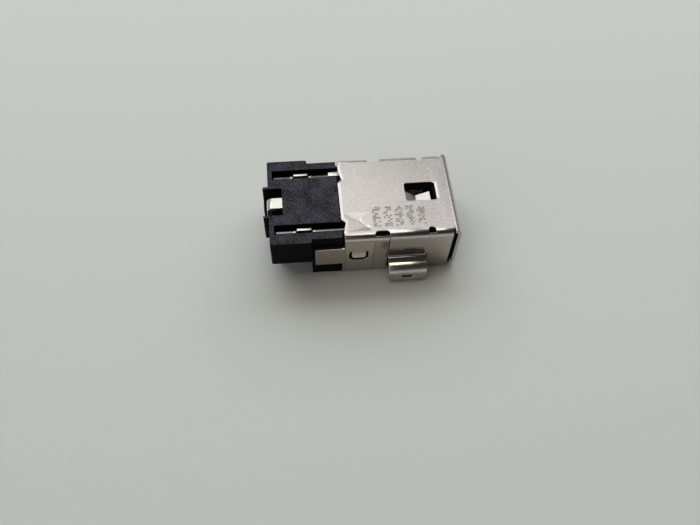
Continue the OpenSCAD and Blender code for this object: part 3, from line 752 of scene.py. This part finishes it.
def plate_grid(bm, region, columns, rows):
    """Cuts a fine grid into a region of the flat top plate and returns its corners."""
    left, right, near, far = region
    faces = [
        face for face in bm.faces
        if face.normal.z > FLAT_UP and face.calc_center_median().z > PLATE_TOP - 0.01 * MM
    ]
    for x in (left, right):
        faces = bisect(bm, faces, (x, 0, 0), (1, 0, 0))
    for y in (near, far):
        faces = bisect(bm, faces, (0, y, 0), (0, 1, 0))
    inside = []
    for face in faces:
        middle = face.calc_center_median()
        if left < middle.x < right and near < middle.y < far and face.normal.z > FLAT_UP:
            inside.append(face)
    for i in range(1, columns):
        inside = bisect(bm, inside, (left + (right - left) * i / columns, 0, 0), (1, 0, 0))
    for i in range(1, rows):
        inside = bisect(bm, inside, (0, near + (far - near) * i / rows, 0), (0, 1, 0))
    return {vert for face in inside for vert in face.verts}


def press_dent(bm, depth):
    """Presses the shallow slanting dent into the top plate's rear corner at the near side."""
    # All in millimetres, along from the plate's rear edge and across from its middle
    rear, tip, tip_across, slant = 0.15, 1.20, 2.04, 0.78
    steep, steep_far, steep_near, easing = 0.10, 2.02, 2.48, 2.0
    far, far_run, near, near_run = 1.35, 0.65, 2.95, 0.42
    for vert in plate_grid(bm, DENT_REGION, 40, 38):
        along = (vert.co.x - PLATE_REAR) / MM
        across = -vert.co.y / MM
        end = tip + slant * (across - tip_across)
        floor = (along - rear) / (end - rear) if end > rear else 0.0
        wall = steep + easing * max(0.0, steep_far - across, across - steep_near)
        front = (end + wall - along) / wall
        share = min(floor, front, (across - far) / far_run, (near - across) / near_run, 1.0)
        vert.co.z -= depth * max(share, 0.0)


def roll_edge(bm, region, reach, drop):
    """Draws the top plate down towards its cut edges inside a region, as a punch leaves them."""
    left, right, near, far = region
    rims = []
    for edge in bm.edges:
        a, b = (vert.co for vert in edge.verts)
        level = min(a.z, b.z) > PLATE_TOP - 0.001 * MM
        if level and any(face.normal.z < 0.5 for face in edge.link_faces):
            if all(left < p.x < right and near < p.y < far for p in (a, b)):
                rims.append((a.copy(), b.copy()))
    columns, rows = (max(2, round(size / ROLL_CELL)) for size in (right - left, far - near))
    for vert in plate_grid(bm, region, columns, min(rows, ROLL_ROWS)):
        gaps = []
        for a, b in rims:
            share = intersect_point_line(vert.co, a, b)[1]
            gaps.append((vert.co - a.lerp(b, min(max(share, 0.0), 1.0))).length)
        vert.co.z -= drop * max(0.0, 1 - min(gaps) / reach) ** 2


def bend_flap(bm, reach):
    """Bends the free end of the near wall's rear flap out a little, at a faint crease."""
    crease, end = PLATE_REAR + FLAP_CREASE, PLATE_REAR + FLAP_END
    wall = [face for face in bm.faces if face.calc_center_median().y < -FOLD_INSIDE]
    bisect(bm, wall, (crease, 0, 0), (1, 0, 0))
    for vert in bm.verts:
        place = vert.co
        in_flap = crease < place.x < end and place.z < PLATE_TOP - 0.05 * MM
        if in_flap and place.y < -WALL_INSIDE:
            place.y -= reach * (place.x - crease) / (end - crease)


def open_leg_bends(bm, growth):
    """Opens the board legs' bends to a larger radius and leaves flange and leg face in place."""
    level = PLATE_TOP - LEG_BEND_DEPTH
    for vert in bm.verts:
        out, up = abs(vert.co.y) - LEG_SHOULDER, vert.co.z - level
        if min(out, up) > -0.01 * MM:
            scale = 1 + growth / math.hypot(out, up)
            vert.co.y = math.copysign(LEG_SHOULDER - growth + out * scale, vert.co.y)
            vert.co.z = level - growth + up * scale


def rounded_mesh(bm, name, width, steps):
    """Mesh with its true outer edges rounded and with their wear as an attribute."""
    weight = bm.edges.layers.float.new("bevel_weight_edge")
    for edge in bm.edges:
        true_edge = edge.seam and len(edge.link_faces) == 2
        outer = true_edge and edge.is_convex and edge.calc_face_angle() > ROUND_ABOVE
        edge[weight] = float(outer)
    mesh = bpy.data.meshes.new(name)
    bm.to_mesh(mesh)
    bm.free()
    mesh.materials.append(None)
    mesh.materials.append(None)
    blank = bpy.data.objects.new(name, mesh)
    bpy.context.scene.collection.objects.link(blank)
    bevel = blank.modifiers.new("Round edges", "BEVEL")
    bevel.width = width
    bevel.segments = steps
    bevel.limit_method = "WEIGHT"
    bevel.miter_outer = "MITER_ARC"
    bevel.use_clamp_overlap = False
    bevel.loop_slide = False
    bevel.material = 1
    bpy.context.view_layer.update()
    shaped = blank.evaluated_get(bpy.context.evaluated_depsgraph_get())
    rounded = bpy.data.meshes.new_from_object(shaped)
    bpy.data.objects.remove(blank)

    bm = bmesh.new()
    bm.from_mesh(rounded)
    layer = bm.verts.layers.float.new(EDGE_ATTRIBUTE)
    for vert in bm.verts:
        vert[layer] = float(all(face.material_index == 1 for face in vert.link_faces))
    for face in bm.faces:
        face.material_index = 0
        face.smooth = True
    for edge in bm.edges:
        limit = SHARP_CONVEX if edge.is_convex else SHARP_CONCAVE
        edge.smooth = len(edge.link_faces) == 2 and edge.calc_face_angle() < limit
    bm.to_mesh(rounded)
    bm.free()
    rounded.name = name
    rounded.materials.clear()
    return rounded


def finish_piece(node, bm, width, steps, material):
    """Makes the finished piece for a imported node, with round edges and its material."""
    name = node + "_finished"
    mesh = rounded_mesh(bm, name, width, steps)
    mesh.materials.append(material)
    piece = bpy.data.objects.new(name, mesh)
    bpy.context.scene.collection.objects.link(piece)
    shading = piece.modifiers.new("Flat faces stay flat", "WEIGHTED_NORMAL")
    shading.mode = "FACE_AREA_WITH_ANGLE"
    shading.thresh = 0.0
    shading.keep_sharp = True
    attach(piece, BODY)
    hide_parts(node)


# Ink dots as geometry nodes


def dot_tree():
    """Fields of dots on a grid, thinned at random, each dot a thin disc with its own wear."""
    tree = bpy.data.node_groups.new("Worn dot fields", "GeometryNodeTree")
    for label, kind in (
        ("Fields", "NodeSocketInt"), ("Columns", "NodeSocketInt"), ("Rows", "NodeSocketInt"),
        ("Field Pitch", "NodeSocketFloat"), ("Column Pitch", "NodeSocketFloat"),
        ("Row Pitch", "NodeSocketFloat"), ("Dot Radius", "NodeSocketFloat"),
        ("Film", "NodeSocketFloat"), ("Fill", "NodeSocketFloat"), ("Start", "NodeSocketVector"),
        ("Seed", "NodeSocketInt"), ("Ink", "NodeSocketMaterial"),
    ):
        tree.interface.new_socket(label, in_out="INPUT", socket_type=kind)
    tree.interface.new_socket("Geometry", in_out="OUTPUT", socket_type="NodeSocketGeometry")
    given = tree.nodes.new("NodeGroupInput").outputs
    made = tree.nodes.new("NodeGroupOutput").inputs

    def grow(kind, inputs, **settings):
        return put(tree, "GeometryNode" + kind, inputs, **settings).outputs[0]

    def draw(kind, output, inputs):
        inputs = {**inputs, "Seed": given["Seed"]}
        return put(tree, "FunctionNodeRandomValue", inputs, data_type=kind).outputs[output]

    def span(count, pitch):
        return multiply(tree, calculate(tree, "SUBTRACT", given[count], 1.0), given[pitch])

    step = put(tree, "ShaderNodeCombineXYZ", {"X": given["Field Pitch"]}).outputs[0]
    line = grow("MeshLine", {
        "Count": given["Fields"], "Start Location": given["Start"], "Offset": step})
    grid = grow("MeshGrid", {
        "Size X": span("Columns", "Column Pitch"), "Size Y": span("Rows", "Row Pitch"),
        "Vertices X": given["Columns"], "Vertices Y": given["Rows"]})
    fields = grow("InstanceOnPoints", {"Points": line, "Instance": grid})
    points = grow("RealizeInstances", {"Geometry": fields})

    lost = draw("BOOLEAN", 3, {"Probability": calculate(tree, "SUBTRACT", 1.0, given["Fill"])})
    points = grow("DeleteGeometry", {"Geometry": points, "Selection": lost}, domain="POINT")
    slip = draw("FLOAT_VECTOR", 0, {
        0: (-0.02 * MM, -0.03 * MM, 0.0), 1: (0.02 * MM, 0.03 * MM, 0.0)})
    points = grow("SetPosition", {"Geometry": points, "Offset": slip})

    disc = grow("MeshCylinder", {
        "Vertices": 12, "Radius": given["Dot Radius"], "Depth": given["Film"]}, fill_type="NGON")
    size = draw("FLOAT", 1, {2: 0.75, 3: 1.25})
    dots = grow("InstanceOnPoints", {"Points": points, "Instance": disc, "Scale": size})
    wear = draw("FLOAT", 1, {2: 0.0, 3: 1.0})
    worn = {"Geometry": dots, "Name": DOT_ATTRIBUTE, "Value": wear}
    dots = grow("StoreNamedAttribute", worn, data_type="FLOAT", domain="INSTANCE")
    dots = grow("RealizeInstances", {"Geometry": dots})
    dots = grow("SetMaterial", {"Geometry": dots, "Material": given["Ink"]})
    tree.links.new(dots, made["Geometry"])
    return tree


def grown_mesh(name, tree, values):
    """Plain mesh that a geometry tree grows from the given values."""
    piece = bpy.data.objects.new(name, bpy.data.meshes.new(name))
    bpy.context.scene.collection.objects.link(piece)
    grower = piece.modifiers.new(tree.name, "NODES")
    grower.node_group = tree
    for item in tree.interface.items_tree:
        if item.in_out == "INPUT":
            grower[item.identifier] = values[item.name]
    grown = piece.evaluated_get(bpy.context.evaluated_depsgraph_get())
    mesh = bpy.data.meshes.new_from_object(grown)
    piece.modifiers.remove(grower)
    piece.data = mesh
    mesh.name = name
    return piece


# Floor, light and camera


def pale_floor(colours):
    """Plain pale floor with a faint unevenness."""
    material, tree, sockets = new_material("pale_floor", Specular_IOR_Level=0.3)
    clouds = place_group(tree, grain_group(), Grain_Size=0.5 * MM, Cloud_Size=30 * MM)
    shade = remap(tree, clouds["Clouds"], 0.0, 1.0, 0.0, 0.06)
    tree.links.new(blend(tree, shade, colours.floor, FLOOR_CLOUD), sockets["Base Color"])
    tree.links.new(remap(tree, clouds["Grain"], 0.3, 0.7, 0.55, 0.65), sockets["Roughness"])
    return material


def room_light(stage):
    """Light of the room: bright behind and above the jack and low at its left, dark before it."""
    world = bpy.data.worlds.new("Soft room")
    world.use_nodes = True
    tree = world.node_tree
    direction = put(tree, "ShaderNodeTexCoord").outputs["Generated"]

    def towards(axis):
        return reckon(tree, "DOT_PRODUCT", {0: direction, 1: axis})["Value"]

    def lobe(axis, low, high, share):
        return remap(tree, towards(axis), low, high, 0.0, share, smooth=True)

    axis, low, high = PATCH_LOBE
    level = remap(tree, towards(axis), low, high, stage.room, stage.room + stage.patch)
    for name, axis, low, high in FAR_LOBES:
        level = calculate(tree, "ADD", level, lobe(axis, low, high, getattr(stage, name)))
    depth = towards(DEPTH_AXIS)
    level = multiply(tree, level, remap(tree, depth, 0.14, 0.34, stage.near, 1.0, smooth=True))
    level = calculate(tree, "ADD", level, lobe(*LEFT_LOBE, stage.left))
    low_glow = remap(tree, towards((0, 0, 1)), 0.16, 0.36, stage.horizon, 0.0, smooth=True)
    near_side = remap(tree, depth, -0.1, 0.1, 1.0, 0.0, smooth=True)
    level = calculate(tree, "ADD", level, multiply(tree, low_glow, near_side))
    tint = blend(tree, remap(tree, depth, 0.3, 0.6), MIDDLE_TINT, FAR_TINT)
    tint = blend(tree, remap(tree, depth, 0.0, 0.25), NEAR_TINT, tint)
    background = tree.nodes["Background"].inputs
    tree.links.new(tint, background["Color"])
    tree.links.new(level, background["Strength"])
    return world


def floor_object(stage, material):
    """Square floor under the jack."""
    bm = bmesh.new()
    bmesh.ops.create_grid(bm, x_segments=1, y_segments=1, size=stage.floor_size / 2)
    mesh = bpy.data.meshes.new("floor")
    bm.to_mesh(mesh)
    bm.free()
    mesh.materials.append(material)
    return bpy.data.objects.new("floor", mesh)


def key_lamp(stage):
    """Wide soft lamp behind the jack, turned to it."""
    lamp = bpy.data.lights.new("key_lamp", "AREA")
    lamp.energy = stage.key_power
    lamp.shape = "RECTANGLE"
    lamp.size = stage.key_width
    lamp.size_y = stage.key_height
    lamp.color = KEY_TINT
    key = bpy.data.objects.new("key_lamp", lamp)
    key.location = stage.key_place
    key.rotation_euler = (-Vector(stage.key_place)).to_track_quat("-Z", "Y").to_euler()
    key.visible_glossy = False
    return key


def photo_camera(stage):
    """Camera at the viewing angle, turned by azimuth, elevation and roll."""
    data = bpy.data.cameras.new("photo_camera")
    data.sensor_width = 36
    data.lens = stage.lens
    data.clip_start = 1 * MM
    data.clip_end = 10
    camera = bpy.data.objects.new("photo_camera", data)
    azimuth, elevation, roll = stage.camera_turn
    back = Vector((
        math.sin(azimuth) * math.cos(elevation),
        -math.cos(azimuth) * math.cos(elevation),
        math.sin(elevation),
    ))
    turn = (-back).to_track_quat("-Z", "Y").to_matrix() @ Matrix.Rotation(roll, 3, "Z")
    camera.matrix_world = Matrix.Translation(stage.camera_place) @ turn.to_4x4()
    return camera


# Operators


class JACK_OT_dress_shell(bpy.types.Operator):
    """Finish the folded sheet shell"""

    bl_idname = "jack.dress_shell"
    bl_label = "Shell"

    def execute(self, context):
        look = context.scene.jack_look
        edges = look.edges
        node = "shield_shell"
        bm = welded_copy(node)
        for region in (REAR_RIM, WINDOW_RIM):
            roll_edge(bm, region, edges.roll, edges.roll_drop)
        press_dent(bm, look.marks.dent_depth)
        bend_flap(bm, look.marks.flap_bend)
        open_leg_bends(bm, look.marks.leg_spring)
        nickel = satin_nickel(look.colours)
        finish_piece(node, bm, edges.sheet, edges.steps, nickel)
        return {"FINISHED"}


class JACK_OT_dress_housing(bpy.types.Operator):
    """Finish the moulded housing"""

    bl_idname = "jack.dress_housing"
    bl_label = "Housing"

    def execute(self, context):
        look = context.scene.jack_look
        edges = look.edges
        node = "insulator_housing"
        plastic = moulded_plastic(look.colours)
        finish_piece(
            node, welded_copy(node), edges.moulding, edges.steps, plastic,
        )
        return {"FINISHED"}


class JACK_OT_dress_pin(bpy.types.Operator):
    """Finish the centre pin and its terminal"""

    bl_idname = "jack.dress_pin"
    bl_label = "Pin and terminal"

    def execute(self, context):
        look = context.scene.jack_look
        edges = look.edges
        tin = bright_tin(look.colours, "terminal_tin_plate", bare_edges=False)
        for node, material, slot in (
            ("center_pin", turned_nickel(look.colours), "pin_plating"),
            ("pin_terminal", tin, "terminal_tin"),
        ):
            finish_piece(node, welded_copy(node), edges.strip, edges.steps, material)
        return {"FINISHED"}


class JACK_OT_dress_contacts(bpy.types.Operator):
    """Finish the two sleeve contacts"""

    bl_idname = "jack.dress_contacts"
    bl_label = "Sleeve contacts"

    def execute(self, context):
        look = context.scene.jack_look
        edges = look.edges
        tin = bright_tin(look.colours, "contact_tin_plate", bare_edges=True)
        for node in ("near_sleeve_contact", "far_sleeve_contact"):
            finish_piece(node, welded_copy(node), edges.blade, edges.steps, tin)
        return {"FINISHED"}


class JACK_OT_print_dots(bpy.types.Operator):
    """Print the fields of worn dots on the top plate"""

    bl_idname = "jack.print_dots"
    bl_label = "Worn ink dots"

    def execute(self, context):
        look = context.scene.jack_look
        ink = look.ink
        dots = grown_mesh("worn_ink_dots", dot_tree(), {
            "Fields": ink.fields, "Columns": ink.columns, "Rows": ink.rows,
            "Field Pitch": ink.field_pitch, "Column Pitch": ink.column_pitch,
            "Row Pitch": ink.row_pitch, "Dot Radius": ink.dot_radius, "Film": ink.film,
            "Fill": ink.fill, "Start": ink.start, "Seed": ink.seed, "Ink": worn_ink(look.colours),
        })
        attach(dots, BODY)
        return {"FINISHED"}


class JACK_OT_set_stage(bpy.types.Operator):
    """Set the floor, the lamp, the room's light and the camera"""

    bl_idname = "jack.set_stage"
    bl_label = "Stage"

    def execute(self, context):
        scene = context.scene
        look = scene.jack_look
        stage = look.stage
        scene.view_settings.view_transform = "Standard"
        scene.world = room_light(stage)
        floor = floor_object(stage, pale_floor(look.colours))
        camera = photo_camera(stage)
        for item in (floor, key_lamp(stage), camera):
            scene.collection.objects.link(item)
        scene.camera = camera
        return {"FINISHED"}


class JACK_PT_finish(bpy.types.Panel):
    """Lists the steps of the jack's finish"""

    bl_idname = "JACK_PT_finish"
    bl_label = "Barrel Jack"
    bl_space_type = "VIEW_3D"
    bl_region_type = "UI"
    bl_category = "Barrel Jack"

    def draw(self, context):
        for step in STEPS:
            self.layout.operator(step.bl_idname)
        look = context.scene.jack_look
        for group in (look.edges, look.marks, look.colours, look.ink, look.stage):
            box = self.layout.box()
            for name in group.bl_rna.properties.keys():
                if name not in ("rna_type", "name"):
                    box.prop(group, name)


STEPS = (
    JACK_OT_dress_shell,
    JACK_OT_dress_housing,
    JACK_OT_dress_pin,
    JACK_OT_dress_contacts,
    JACK_OT_print_dots,
    JACK_OT_set_stage,
)
GROUPS = (JackEdges, JackMarks, JackColours, JackInk, JackStage, JackLook)
CLASSES = (*GROUPS, *STEPS, JACK_PT_finish)


def register():
    for cls in CLASSES:
        bpy.utils.register_class(cls)
    bpy.types.Scene.jack_look = PointerProperty(type=JackLook)


def unregister():
    del bpy.types.Scene.jack_look
    for cls in reversed(CLASSES):
        bpy.utils.unregister_class(cls)


def main():
    register()
    bpy.ops.jack.dress_shell()
    bpy.ops.jack.dress_housing()
    bpy.ops.jack.dress_pin()
    bpy.ops.jack.dress_contacts()
    bpy.ops.jack.print_dots()
    bpy.ops.jack.set_stage()


if __name__ == "__main__":
    main()
